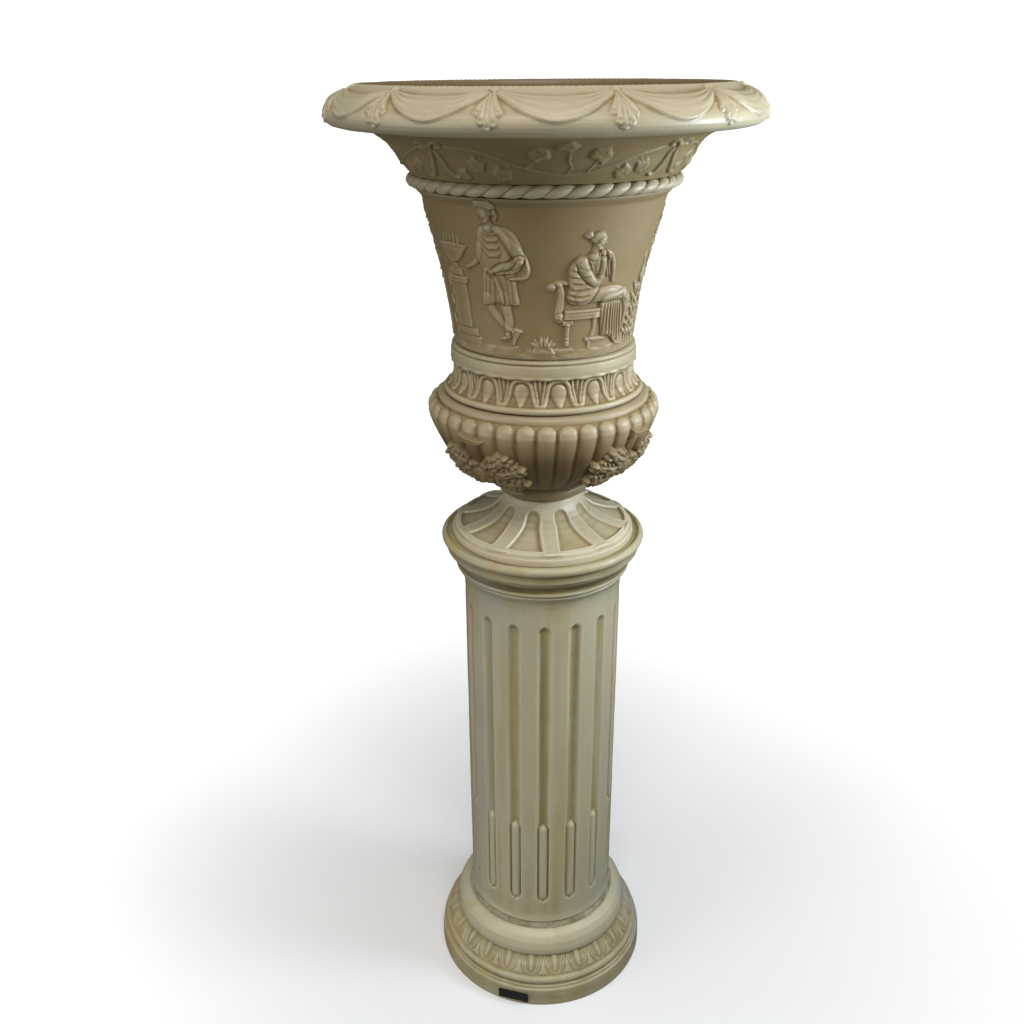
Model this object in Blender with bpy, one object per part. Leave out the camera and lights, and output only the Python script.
"""A relief-moulded urn standing on a fluted column pedestal.

Units are metres, +Z is up.  The origin is on the floor, on the common axis of
the column and the urn.  The front is the side facing -Y.

The pedestal is a plinth base, a fluted shaft and a capital, bedded on each
other.  The urn stands loose on the capital, over a centring puck, and is a
stack of turned castings (foot, knop, bowl, collar, body and rim) drawn
together at the neck by a hollow tie rod that also drains it.
"""

import math

import bmesh
import bpy
from mathutils import Vector

# ---------------------------------------------------------------- dimensions
GAP = 0.0003                  # clearance left between two bedded pieces
SEGMENTS = 32                 # facets round a plain turned piece
RING_SEGMENTS = 24            # facets round a small hidden piece

COLUMN_RADIUS = 0.127         # plain face of the shaft
PLINTH_RADIUS = 0.187         # widest part of the column, at the floor
RIM_RADIUS = 0.2998           # widest part of the urn

Z_BASE_TOP = 0.1247           # top of the plinth base casting
Z_SHAFT_BOTTOM = 0.1350       # above the rough bedding joint
Z_SHAFT_TOP = 0.7925
Z_CAPITAL_BOTTOM = 0.7945
Z_DECK = 0.8490               # flat top of the capital
Z_FOOT_TOP = 0.9183
Z_KNOP_BOTTOM = 0.9209
Z_KNOP_TOP = 0.9440
Z_BOWL_TOP = 1.0850
Z_COLLAR_BOTTOM = 1.0871
Z_COLLAR_TOP = 1.1600
Z_BODY_BOTTOM = 1.1618
Z_BODY_TOP = 1.3815
Z_RIM_BOTTOM = 1.3835
Z_RIM_TOP = 1.5140

FLUTES = 16
FLUTE_DEPTH = 0.0065
FLUTE_HALF_ANGLE = math.radians(4.2)
FLUTE_FLOOR_ANGLE = 0.6 * FLUTE_HALF_ANGLE
Z_FLUTE_BOTTOM = 0.1826
Z_FLUTE_TOP = 0.7356
FLUTE_END = 0.008             # height over which a flute runs out

GADROONS = 36
GADROON_DEPTH = 0.0045

BORE = 0.0125                 # clearance hole for the tie rod
ROD_RADIUS = 0.0118
ROD_BORE = 0.0050             # drain hole through the tie rod
Z_ROD_BOTTOM = 0.8760
Z_ROD_TOP = 0.9960
Z_FOOT_CEILING = 0.8960       # flat inside the foot, where the lower washer bears
Z_BOWL_FLOOR = 0.9680         # flat inside the bowl, where the upper washer bears
WASHER_RADIUS = 0.0240
WASHER_THICKNESS = 0.0025
NUT_ACROSS_CORNERS = 0.0200   # radius to the corners of the hexagon
NUT_HEIGHT = 0.0120

PUCK_RADIUS = 0.0980
PUCK_CLEARANCE = 0.0005
PUCK_STAND = 0.0120           # how far the puck stands above the deck
PUCK_SEAT = 0.0135            # depth of its seat in the capital
PUCK_DRAIN = 0.0200

BOARD_RADIUS = 0.1500
BOARD_THICKNESS = 0.0120
Z_BOARD = 0.0080              # the board is recessed from the floor
SCREW_CIRCLE = 0.1360
SCREW_RADIUS = 0.0040
SCREW_HEAD_RADIUS = 0.0075
SCREW_HEAD_HEIGHT = 0.0030
SCREW_LENGTH = 0.0280
SCREW_COUNT = 4

LABEL_WIDTH = 0.0540
LABEL_HEIGHT = 0.0200
LABEL_THICKNESS = 0.0008
LABEL_ANGLE = math.radians(-16.5)
LABEL_Z = 0.0165

MASKS = 4
MASK_FIRST_ANGLE = math.radians(-38.0)
MASK_HALF_ANGLE = math.radians(30.0)
MASK_THICKNESS = 0.0090       # at the middle
MASK_EDGE = 0.0015            # at the edge
MASK_BED = 0.0012             # stand-off from the lobes of the bowl

# ---------------------------------------------------------------- materials
CAST_MARBLE = ((0.78, 0.71, 0.56), 0.48, 0.0)
PALE_MARBLE = ((0.82, 0.76, 0.63), 0.46, 0.0)
BEDDING = ((0.70, 0.64, 0.50), 0.85, 0.0)
BRASS = ((0.62, 0.47, 0.22), 0.35, 1.0)
BLACK_LABEL = ((0.02, 0.02, 0.02), 0.35, 0.0)
PLYWOOD = ((0.50, 0.36, 0.22), 0.70, 0.0)
RUBBER = ((0.06, 0.06, 0.06), 0.75, 0.0)
STEEL = ((0.55, 0.55, 0.56), 0.35, 1.0)


def clear_scene():
    for obj in list(bpy.data.objects):
        bpy.data.objects.remove(obj, do_unlink=True)


def make_material(name, finish):
    """A Principled material from (colour, roughness, metallic)."""
    colour, roughness, metallic = finish
    material = bpy.data.materials.new(name)
    material.use_nodes = True
    shader = material.node_tree.nodes["Principled BSDF"]
    shader.inputs["Base Color"].default_value = (*colour, 1.0)
    shader.inputs["Roughness"].default_value = roughness
    shader.inputs["Metallic"].default_value = metallic
    return material


# ---------------------------------------------------------------- mesh helpers
def object_from_bmesh(name, bm, material, smooth_degrees=35.0):
    """Finish a bmesh into a named object with smooth round faces."""
    bmesh.ops.recalc_face_normals(bm, faces=bm.faces)
    mesh = bpy.data.meshes.new(name)
    bm.to_mesh(mesh)
    bm.free()
    mesh.shade_smooth()
    mesh.set_sharp_from_angle(angle=math.radians(smooth_degrees))
    mesh.materials.append(material)
    obj = bpy.data.objects.new(name, mesh)
    bpy.context.scene.collection.objects.link(obj)
    return obj


def place(obj, location, rotation_z=0.0, parent=None):
    """Put an object's origin at a world location, under an optional parent."""
    obj.location = location
    obj.rotation_euler = (0.0, 0.0, rotation_z)
    if parent is not None:
        obj.location = Vector(location) - parent.location
        obj.parent = parent
    return obj


def make_empty(name, location):
    empty = bpy.data.objects.new(name, None)
    empty.empty_display_size = 0.05
    empty.location = location
    bpy.context.scene.collection.objects.link(empty)
    return empty


def ring_points(radius, z, segments, shape):
    """One closed ring; shape(angle, radius, z) may vary the radius round it."""
    points = []
    for index in range(segments):
        angle = 2.0 * math.pi * index / segments
        r = shape(angle, radius, z) if shape else radius
        points.append((r * math.sin(angle), -r * math.cos(angle), z))
    return points


def revolve(name, profile, z_origin, material, segments=SEGMENTS, shape=None):
    """A ring-shaped solid from a closed (radius, z) loop that misses the axis.

    Heights in the profile are above the floor; the mesh is stored about
    z_origin, so that the object's own origin sits on the axis there.
    """
    bm = bmesh.new()
    rings = []
    for radius, z in profile:
        points = ring_points(radius, z, segments, shape)
        rings.append([bm.verts.new((x, y, z_point - z_origin)) for x, y, z_point in points])
    for index, ring in enumerate(rings):
        following = rings[(index + 1) % len(rings)]
        for k in range(segments):
            j = (k + 1) % segments
            bm.faces.new((ring[k], ring[j], following[j], following[k]))
    return object_from_bmesh(name, bm, material)


def arc(centre_r, centre_z, radius, start_degrees, end_degrees, steps):
    """Points on a circle in the (radius, z) plane, from start to end."""
    points = []
    for index in range(steps + 1):
        angle = math.radians(start_degrees + (end_degrees - start_degrees) * index / steps)
        points.append((centre_r + radius * math.cos(angle), centre_z + radius * math.sin(angle)))
    return points


# ---------------------------------------------------------------- pedestal
def plinth_base(material):
    """Round plinth, bead, sloping leaf moulding and torus, hollow underneath."""
    outer = [(PLINTH_RADIUS, 0.0), (0.1850, 0.0330), (0.1812, 0.0336), (0.1812, 0.0380)]
    outer += arc(0.1718, 0.0462, 0.0080, -75.0, 75.0, 3)
    outer += [(0.1745, 0.0545), (0.1650, 0.0710), (0.1520, 0.0832)]
    outer += [(0.1556, 0.0850), (0.1566, 0.0950), (0.1520, 0.1100), (0.1375, Z_BASE_TOP)]
    inner = [(0.1080, Z_BASE_TOP), (0.1080, 0.1000), (0.1240, 0.0215), (0.1515, 0.0215)]
    inner += [(0.1515, 0.0)]
    return revolve("plinth_base", outer + inner, 0.0, material)


def base_board(material):
    """The recessed board that closes the hollow plinth."""
    top = Z_BOARD + BOARD_THICKNESS
    profile = [(BOARD_RADIUS, Z_BOARD), (BOARD_RADIUS, top), (0.0250, top), (0.0250, Z_BOARD)]
    board = revolve("base_board", profile, Z_BOARD, material)
    place(board, (0.0, 0.0, Z_BOARD))
    return board


def screw_mesh(name, material):
    """A countersunk-style wood screw, head down, about its own axis."""
    bm = bmesh.new()
    profile = [(SCREW_HEAD_RADIUS, 0.0), (SCREW_HEAD_RADIUS, SCREW_HEAD_HEIGHT)]
    profile += [(SCREW_RADIUS, SCREW_HEAD_HEIGHT), (SCREW_RADIUS, SCREW_LENGTH - 0.006)]
    rings = []
    sides = 12
    for radius, z in profile:
        rings.append([bm.verts.new(point) for point in ring_points(radius, z, sides, None)])
    tip = bm.verts.new((0.0, 0.0, SCREW_LENGTH))
    bm.faces.new(rings[0])
    for low, high in zip(rings, rings[1:]):
        for k in range(sides):
            j = (k + 1) % sides
            bm.faces.new((low[k], low[j], high[j], high[k]))
    for k in range(sides):
        bm.faces.new((rings[-1][k], rings[-1][(k + 1) % sides], tip))
    return object_from_bmesh(name, bm, material)


def drill(target, radius, z_low, z_high, centre):
    """Cut a round hole parallel to Z out of target with a Boolean."""
    bm = bmesh.new()
    sides = 16
    low = [bm.verts.new(point) for point in ring_points(radius, z_low, sides, None)]
    high = [bm.verts.new(point) for point in ring_points(radius, z_high, sides, None)]
    bm.faces.new(low)
    bm.faces.new(high)
    for k in range(sides):
        j = (k + 1) % sides
        bm.faces.new((low[k], low[j], high[j], high[k]))
    bmesh.ops.recalc_face_normals(bm, faces=bm.faces)
    mesh = bpy.data.meshes.new("cutter")
    bm.to_mesh(mesh)
    bm.free()
    cutter = bpy.data.objects.new(f"cutter_{target.name}_{len(target.modifiers)}", mesh)
    bpy.context.scene.collection.objects.link(cutter)
    cutter.location = centre
    cutter.hide_render = True
    cutter.display_type = "WIRE"
    cut = target.modifiers.new("hole", "BOOLEAN")
    cut.operation = "DIFFERENCE"
    cut.solver = "EXACT"
    cut.object = cutter


def board_screws(board, base, material):
    """Four screws hold the board up into the plinth casting."""
    for index in range(SCREW_COUNT):
        angle = math.radians(45.0 + 90.0 * index)
        x, y = SCREW_CIRCLE * math.sin(angle), -SCREW_CIRCLE * math.cos(angle)
        z = Z_BOARD - SCREW_HEAD_HEIGHT - GAP
        screw = screw_mesh(f"base_screw_{index + 1}", material)
        place(screw, (x, y, z), angle)
        drill(board, SCREW_RADIUS + GAP, Z_BOARD - 0.002, Z_BOARD + BOARD_THICKNESS + 0.002, (x, y, 0.0))
        drill(base, SCREW_RADIUS + GAP, 0.0200, z + SCREW_LENGTH + 0.002, (x, y, 0.0))


def shaft_radius(angle, radius, z):
    """Hollow the outer face of the shaft between the ends of its flutes."""
    outside = radius > COLUMN_RADIUS - 0.001
    if not outside or not Z_FLUTE_BOTTOM < z < Z_FLUTE_TOP:
        return radius
    pitch = 2.0 * math.pi / FLUTES
    offset = abs((angle + pitch / 2.0) % pitch - pitch / 2.0)
    return radius - FLUTE_DEPTH if offset < FLUTE_FLOOR_ANGLE else radius


def column_shaft(material):
    """The fluted drum, flared at both ends, hollow right through."""
    outer = [(0.1290, Z_SHAFT_BOTTOM), (COLUMN_RADIUS, 0.1520), (COLUMN_RADIUS, Z_FLUTE_BOTTOM)]
    outer += [(COLUMN_RADIUS, Z_FLUTE_BOTTOM + FLUTE_END), (COLUMN_RADIUS, Z_FLUTE_TOP - FLUTE_END)]
    outer += [(COLUMN_RADIUS, Z_FLUTE_TOP), (COLUMN_RADIUS, 0.7600), (0.1302, 0.7800), (0.1385, Z_SHAFT_TOP)]
    inner = [(0.1060, Z_SHAFT_TOP), (0.1060, Z_SHAFT_BOTTOM)]
    return fluted_revolve("column_shaft", outer + inner, material)


def fluted_revolve(name, profile, material):
    """Like revolve, but with ring points gathered at the flutes."""
    bm = bmesh.new()
    pitch = 2.0 * math.pi / FLUTES
    half = FLUTE_HALF_ANGLE
    offsets = (-half, -half * 0.5, half * 0.5, half)
    angles = [pitch * flute + offset for flute in range(FLUTES) for offset in offsets]
    rings = []
    for radius, z in profile:
        ring = []
        for angle in angles:
            r = shaft_radius(angle, radius, z)
            ring.append(bm.verts.new((r * math.sin(angle), -r * math.cos(angle), z - Z_SHAFT_BOTTOM)))
        rings.append(ring)
    count = len(angles)
    for index, ring in enumerate(rings):
        following = rings[(index + 1) % len(rings)]
        for k in range(count):
            j = (k + 1) % count
            bm.faces.new((ring[k], ring[j], following[j], following[k]))
    shaft = object_from_bmesh(name, bm, material)
    place(shaft, (0.0, 0.0, Z_SHAFT_BOTTOM))
    return shaft


def column_capital(material):
    """Astragal, cavetto, fillets, band and top bead, with a seat in the deck."""
    seat = PUCK_RADIUS + PUCK_CLEARANCE
    z_seat = Z_DECK - PUCK_SEAT
    outer = [(0.1395, Z_CAPITAL_BOTTOM), (0.1407, 0.7978), (0.1395, 0.8012), (0.1352, 0.8016)]
    outer += [(0.1445, 0.8146), (0.1500, 0.8195), (0.1500, 0.8232), (0.1540, 0.8240), (0.1540, 0.8380)]
    outer += arc(0.1545, 0.8460, 0.0075, -70.0, 60.0, 3)
    outer += [(0.1530, Z_DECK)]
    inner = [(seat, Z_DECK), (seat, z_seat), (0.0300, z_seat), (0.0300, 0.8150), (0.1000, 0.8050)]
    inner += [(0.1000, Z_CAPITAL_BOTTOM)]
    capital = revolve("column_capital", outer + inner, Z_CAPITAL_BOTTOM, material)
    place(capital, (0.0, 0.0, Z_CAPITAL_BOTTOM))
    return capital


def flat_ring(name, outer_radius, inner_radius, z_low, z_high, material, segments=SEGMENTS):
    """A plain washer-shaped piece between two heights."""
    profile = [(outer_radius, z_low), (outer_radius, z_high), (inner_radius, z_high), (inner_radius, z_low)]
    ring = revolve(name, profile, z_low, material, segments)
    place(ring, (0.0, 0.0, z_low))
    return ring


def bedding_joints(material):
    """The rough joints between the three pedestal castings."""
    low, high = Z_BASE_TOP + GAP, Z_SHAFT_BOTTOM - GAP
    profile = [(0.1345, low), (0.1338, low + 0.004), (0.1312, high - 0.002), (0.1300, high)]
    profile += [(0.1085, high), (0.1085, low)]
    joint = revolve("shaft_bedding_joint", profile, low, material)
    place(joint, (0.0, 0.0, low))
    flat_ring("capital_bedding_joint", 0.1375, 0.1065, Z_SHAFT_TOP + GAP, Z_CAPITAL_BOTTOM - GAP, material)


def label_plate(material):
    """A small blank plate stuck flat against the face of the plinth."""
    bm = bmesh.new()
    bmesh.ops.create_cube(bm, size=1.0)
    for vert in bm.verts:
        vert.co.x *= LABEL_WIDTH
        vert.co.y *= LABEL_THICKNESS
        vert.co.z *= LABEL_HEIGHT
    plate = object_from_bmesh("blank_label", bm, material)
    stand = PLINTH_RADIUS + GAP + LABEL_THICKNESS / 2.0
    location = (stand * math.sin(LABEL_ANGLE), -stand * math.cos(LABEL_ANGLE), LABEL_Z)
    place(plate, location, LABEL_ANGLE)
    return plate


# ---------------------------------------------------------------- urn
def centring_puck(material, parent):
    """The round block that keeps the urn in the middle of the capital."""
    low = Z_DECK - PUCK_SEAT + GAP
    high = Z_DECK + PUCK_STAND
    puck = flat_ring("centring_puck", PUCK_RADIUS, PUCK_DRAIN, low, high, material)
    place(puck, (0.0, 0.0, low), 0.0, parent)


def urn_foot(material, parent):
    """Round step, flange and panelled trumpet, hollow underneath."""
    bottom = Z_DECK + GAP
    socket = PUCK_RADIUS + PUCK_CLEARANCE
    outer = [(0.1440, bottom), (0.1440, 0.8605), (0.1398, 0.8610), (0.1396, 0.8655), (0.1330, 0.8690)]
    outer += [(0.1080, 0.8745), (0.0840, 0.8850), (0.0675, 0.9000), (0.0590, Z_FOOT_TOP)]
    inner = [(BORE, Z_FOOT_TOP), (BORE, Z_FOOT_CEILING), (0.0330, Z_FOOT_CEILING), (0.0580, 0.8740)]
    inner += [(socket, 0.8625), (socket, bottom)]
    foot = revolve("urn_foot", outer + inner, bottom, material)
    place(foot, (0.0, 0.0, bottom), 0.0, parent)


def neck_knop(material, parent):
    """The turned ring between the foot and the bowl."""
    middle = (Z_KNOP_BOTTOM + Z_KNOP_TOP) / 2.0
    outer = [(0.0600, Z_KNOP_BOTTOM), (0.0690, 0.9250), (0.0720, middle), (0.0695, 0.9400)]
    outer += [(0.0650, Z_KNOP_TOP)]
    inner = [(BORE, Z_KNOP_TOP), (BORE, Z_KNOP_BOTTOM)]
    knop = revolve("neck_knop", outer + inner, Z_KNOP_BOTTOM, material)
    place(knop, (0.0, 0.0, Z_KNOP_BOTTOM), 0.0, parent)


BOWL_OUTER = [
    (0.0660, Z_KNOP_TOP + GAP), (0.0860, 0.9500), (0.1150, 0.9690), (0.1400, 0.9930),
    (0.1600, 1.0230), (0.1725, 1.0520), (0.1680, 1.0790),
]


def gadroon_radius(angle, radius, z):
    """Scallop the outer face of the bowl into lobes below its shoulder."""
    on_lobes = radius > 0.0850 and 0.9490 < z < 1.0700
    outside = any(abs(radius - r) < 1e-9 and abs(z - level) < 1e-9 for r, level in BOWL_OUTER)
    if not (on_lobes and outside):
        return radius
    return radius - GADROON_DEPTH * (0.5 - 0.5 * math.cos(angle * GADROONS))


def urn_bowl(material, parent):
    """Gadrooned bowl with a flat floor and a drawn-in shoulder."""
    bottom = Z_KNOP_TOP + GAP
    outer = list(BOWL_OUTER) + [(0.1590, 1.0815), (0.1520, Z_BOWL_TOP)]
    inner = [(0.1170, Z_BOWL_TOP), (0.1180, 1.0740), (0.1520, 1.0600), (0.1320, 1.0000)]
    inner += [(0.0950, Z_BOWL_FLOOR), (BORE, Z_BOWL_FLOOR)]
    inner += [(BORE, bottom)]
    bowl = revolve("urn_bowl", outer + inner, bottom, material, 2 * GADROONS, gadroon_radius)
    place(bowl, (0.0, 0.0, bottom), 0.0, parent)


def leaf_collar(material, parent):
    """Ring, concave leaf band, flat band and bead, in one casting."""
    outer = arc(0.1455, Z_COLLAR_BOTTOM + 0.0046, 0.0046, -90.0, 90.0, 3)
    outer += [(0.1440, 1.0970), (0.1345, 1.1120), (0.1340, 1.1345)]
    outer += [(0.1372, 1.1360), (0.1372, 1.1535), (0.1340, Z_COLLAR_TOP)]
    inner = [(0.1150, Z_COLLAR_TOP), (0.1170, Z_COLLAR_BOTTOM)]
    collar = revolve("leaf_collar", outer + inner, Z_COLLAR_BOTTOM, material)
    place(collar, (0.0, 0.0, Z_COLLAR_BOTTOM), 0.0, parent)


def urn_body(material, parent):
    """The flaring bell that carries the figure frieze."""
    outer = [(0.1305, Z_BODY_BOTTOM), (0.1345, 1.2000), (0.1402, 1.2400), (0.1485, 1.2800)]
    outer += [(0.1590, 1.3200), (0.1735, 1.3710), (0.1835, Z_BODY_TOP)]
    inner = [(0.1580, Z_BODY_TOP), (0.1330, 1.2800), (0.1150, Z_BODY_BOTTOM)]
    body = revolve("urn_body", outer + inner, Z_BODY_BOTTOM, material)
    place(body, (0.0, 0.0, Z_BODY_BOTTOM), 0.0, parent)


def rope_moulding(material, parent):
    """A half-round ring that covers the joint between body and rim."""
    tube = 0.0075
    centre_z = Z_RIM_BOTTOM + tube
    profile = arc(0.1855, centre_z, tube, -90.0, 90.0, 4)
    profile += [(0.1781, centre_z + tube), (0.1781, centre_z - tube)]
    rope = revolve("rope_moulding", profile, centre_z, material)
    place(rope, (0.0, 0.0, centre_z), 0.0, parent)


def urn_rim(material, parent):
    """Concave neck and wide rolled lip."""
    outer = [(0.1778, Z_RIM_BOTTOM), (0.1778, 1.3988), (0.1865, 1.3992), (0.1985, 1.4130), (0.2103, 1.4330)]
    outer += [(0.2268, 1.4488), (0.2463, 1.4567), (0.2828, 1.4611), (0.2960, 1.4665)]
    outer += [(RIM_RADIUS, 1.4764), (0.2906, 1.4934), (0.2797, 1.5006), (0.2560, Z_RIM_TOP)]
    inner = [(0.2470, Z_RIM_TOP), (0.2450, 1.4900), (0.2100, 1.4500), (0.1580, Z_RIM_BOTTOM)]
    rim = revolve("urn_rim", outer + inner, Z_RIM_BOTTOM, material)
    place(rim, (0.0, 0.0, Z_RIM_BOTTOM), 0.0, parent)


def urn_bedding(material, parent):
    """Thin bedding rings between the stacked castings of the urn."""
    joints = (
        ("neck_gasket", 0.0550, BORE, Z_FOOT_TOP, Z_KNOP_BOTTOM),
        ("collar_bedding_ring", 0.1430, 0.1175, Z_BOWL_TOP, Z_COLLAR_BOTTOM),
        ("body_bedding_ring", 0.1280, 0.1155, Z_COLLAR_TOP, Z_BODY_BOTTOM),
        ("rim_bedding_ring", 0.1760, 0.1585, Z_BODY_TOP, Z_RIM_BOTTOM),
    )
    for name, outer_radius, inner_radius, z_low, z_high in joints:
        low, high = z_low + GAP, z_high - GAP
        ring = flat_ring(name, outer_radius, inner_radius, low, high, material)
        place(ring, (0.0, 0.0, low), 0.0, parent)


def hexagon_nut(name, z_low, material, parent):
    """A hexagon nut with a round clearance hole for the rod."""
    sides = 24

    def hexagon(angle, radius, z):
        if radius < ROD_RADIUS * 1.2:
            return radius
        sector = math.pi / 3.0
        offset = (angle % sector) - sector / 2.0
        return radius * math.cos(sector / 2.0) / math.cos(offset)

    hole = ROD_RADIUS + GAP
    high = z_low + NUT_HEIGHT
    profile = [(NUT_ACROSS_CORNERS, z_low), (NUT_ACROSS_CORNERS, high), (hole, high), (hole, z_low)]
    nut = revolve(name, profile, z_low, material, sides, hexagon)
    place(nut, (0.0, 0.0, z_low), 0.0, parent)


def tie_rod_set(material, rubber, parent):
    """Hollow tie rod with a washer and a nut at each end."""
    rod = flat_ring("tie_rod", ROD_RADIUS, ROD_BORE, Z_ROD_BOTTOM, Z_ROD_TOP, material, RING_SEGMENTS)
    place(rod, (0.0, 0.0, Z_ROD_BOTTOM), 0.0, parent)
    hole = ROD_RADIUS + GAP
    washer_low = Z_FOOT_CEILING - GAP - WASHER_THICKNESS
    washer_high = Z_BOWL_FLOOR + GAP
    lower = flat_ring("rod_washer_lower", WASHER_RADIUS, hole, washer_low, Z_FOOT_CEILING - GAP, rubber,
                      RING_SEGMENTS)
    place(lower, (0.0, 0.0, washer_low), 0.0, parent)
    upper = flat_ring("rod_washer_upper", WASHER_RADIUS, hole, washer_high, washer_high + WASHER_THICKNESS,
                      rubber, RING_SEGMENTS)
    place(upper, (0.0, 0.0, washer_high), 0.0, parent)
    hexagon_nut("rod_nut_lower", washer_low - GAP - NUT_HEIGHT, material, parent)
    hexagon_nut("rod_nut_upper", washer_high + WASHER_THICKNESS + GAP, material, parent)


def mask_cushion(across, up):
    """How far a mask stands out at a point of its outline, 0 at the edge."""
    edge = max(0.0, 1.0 - across * across) * max(0.0, 1.0 - up * up)
    return edge ** 0.5


def mask_width(up):
    """Width of a mask along its height, from 0.35 at the ends to 1 low down."""
    low = max(0.0, 1.0 - (up + 0.35) ** 2 / 2.2)
    return 0.35 + 0.65 * low ** 1.5


def bowl_radius_at(z):
    """Outer radius of the bowl between its profile points."""
    for (r0, z0), (r1, z1) in zip(BOWL_OUTER, BOWL_OUTER[1:]):
        if z0 <= z <= z1:
            return r0 + (r1 - r0) * (z - z0) / (z1 - z0)
    return BOWL_OUTER[-1][0]


def bowl_masks(material, parent):
    """Four applied masks, each a domed pad lying against the bowl."""
    heights = (0.9570, 0.9690, 0.9810, 0.9930, 1.0080, 1.0230, 1.0450)
    columns, rows = 6, len(heights) - 1
    z_low, z_high = heights[0], heights[-1]
    for index in range(MASKS):
        turn = MASK_FIRST_ANGLE + 2.0 * math.pi * index / MASKS
        bm = bmesh.new()
        front, back = [], []
        for z in heights:
            up = 2.0 * (z - z_low) / (z_high - z_low) - 1.0
            for column in range(columns + 1):
                across = 2.0 * column / columns - 1.0
                angle = MASK_HALF_ANGLE * across * mask_width(up)
                low_r = bowl_radius_at(z) + MASK_BED
                high_r = low_r + MASK_EDGE + MASK_THICKNESS * mask_cushion(across, up)
                for radius, side in ((high_r, front), (low_r, back)):
                    point = (radius * math.sin(angle), -radius * math.cos(angle), z - z_low)
                    side.append(bm.verts.new(point))
        stitch_pad(bm, front, back, columns, rows)
        mask = object_from_bmesh(f"bowl_mask_{index + 1}", bm, material)
        place(mask, (0.0, 0.0, z_low), turn, parent)


def stitch_pad(bm, front, back, columns, rows):
    """Faces for a pad made of two grids joined round their edges."""
    width = columns + 1
    for row in range(rows):
        for column in range(columns):
            a = row * width + column
            quad = (a, a + 1, a + 1 + width, a + width)
            bm.faces.new([front[k] for k in quad])
            bm.faces.new([back[k] for k in reversed(quad)])
    border = list(range(width))
    border += [r * width + columns for r in range(1, rows + 1)]
    border += [rows * width + c for c in range(columns - 1, -1, -1)]
    border += [r * width for r in range(rows - 1, 0, -1)]
    for a, b in zip(border, border[1:] + border[:1]):
        bm.faces.new((front[a], back[a], back[b], front[b]))


# ---------------------------------------------------------------- assembly
def build():
    clear_scene()
    marble = make_material("cast_marble", CAST_MARBLE)
    pale = make_material("pale_marble", PALE_MARBLE)
    bedding = make_material("bedding", BEDDING)
    brass = make_material("brass", BRASS)
    label = make_material("black_label", BLACK_LABEL)
    plywood = make_material("plywood", PLYWOOD)
    rubber = make_material("rubber", RUBBER)
    steel = make_material("zinc_steel", STEEL)

    base = plinth_base(marble)
    board = base_board(plywood)
    board_screws(board, base, steel)
    column_shaft(marble)
    bedding_joints(bedding)
    column_capital(marble)
    label_plate(label)

    turning = make_empty("urn_turning", (0.0, 0.0, Z_DECK))
    centring_puck(rubber, turning)
    urn_foot(pale, turning)
    neck_knop(marble, turning)
    urn_bowl(marble, turning)
    bowl_masks(marble, turning)
    leaf_collar(marble, turning)
    urn_body(marble, turning)
    rope_moulding(marble, turning)
    urn_rim(marble, turning)
    urn_bedding(bedding, turning)
    tie_rod_set(brass, rubber, turning)


build()
